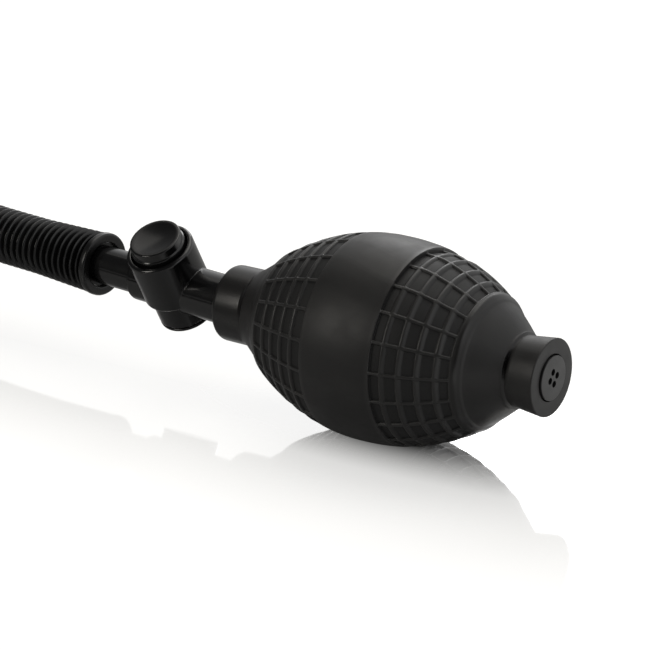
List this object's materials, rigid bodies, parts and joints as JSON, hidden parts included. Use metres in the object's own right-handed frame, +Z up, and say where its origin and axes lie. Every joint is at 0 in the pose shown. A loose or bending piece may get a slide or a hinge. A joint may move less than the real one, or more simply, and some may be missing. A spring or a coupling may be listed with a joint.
{
  "type": "squeeze bulb air blower",
  "caption": "Rubber squeeze bulb with ribbed grip bands, check valves, a push-button release valve and a ribbed air hose ending in a push-fit connector.",
  "frame": {"origin": "on the surface it stands on, under the middle of the box round the bulb and valve, hose left out", "axes": "+X along the bulb towards its tail, +Z up"},
  "size_m": [0.3157, 0.19, 0.0607],
  "materials": {
    "bulb_rubber": "matte black moulded rubber",
    "hose_rubber": "satin black",
    "seal_rubber": "matte black",
    "valve_plastic": "semi-gloss black",
    "insert_plastic": "matte black",
    "pin_steel": "bright steel"
  },
  "bodies": {
    "pump": {"bulb": "bulb_rubber", "inlet_housing": "insert_plastic", "inlet_retainer": "insert_plastic", "outlet_seat": "insert_plastic", "outlet_cage": "insert_plastic", "valve_body": "valve_plastic", "stem_o_ring": "seal_rubber", "spring_washer": "pin_steel", "return_spring": "pin_steel", "bottom_cap": "valve_plastic", "hose": "hose_rubber", "hose_cuff": "hose_rubber", "hose_end_cuff": "hose_rubber", "hose_connector": "valve_plastic", "connector_seal": "seal_rubber"},
    "button": {"push_button": "valve_plastic", "valve_pin": "pin_steel", "poppet_seal": "seal_rubber"},
    "inlet_flap": {"inlet_flap": "seal_rubber"},
    "outlet_flap": {"outlet_flap": "seal_rubber"}
  },
  "joints": [
    {"name": "button_press", "type": "slide", "parent": "pump", "child": "button", "axis": [0.042, 0.4442, -0.8949], "range_m": [0, 0.0025], "stiffness_N_per_m": 150, "springref_m": -0.006, "deforming": ["return_spring"]},
    {"name": "inlet_lift", "type": "slide", "parent": "pump", "child": "inlet_flap", "axis": [-1, 0, 0], "range_m": [0, 0.001]},
    {"name": "outlet_lift", "type": "slide", "parent": "pump", "child": "outlet_flap", "axis": [-0.9956, 0.0941, 0], "range_m": [0, 0.001]}
  ]
}
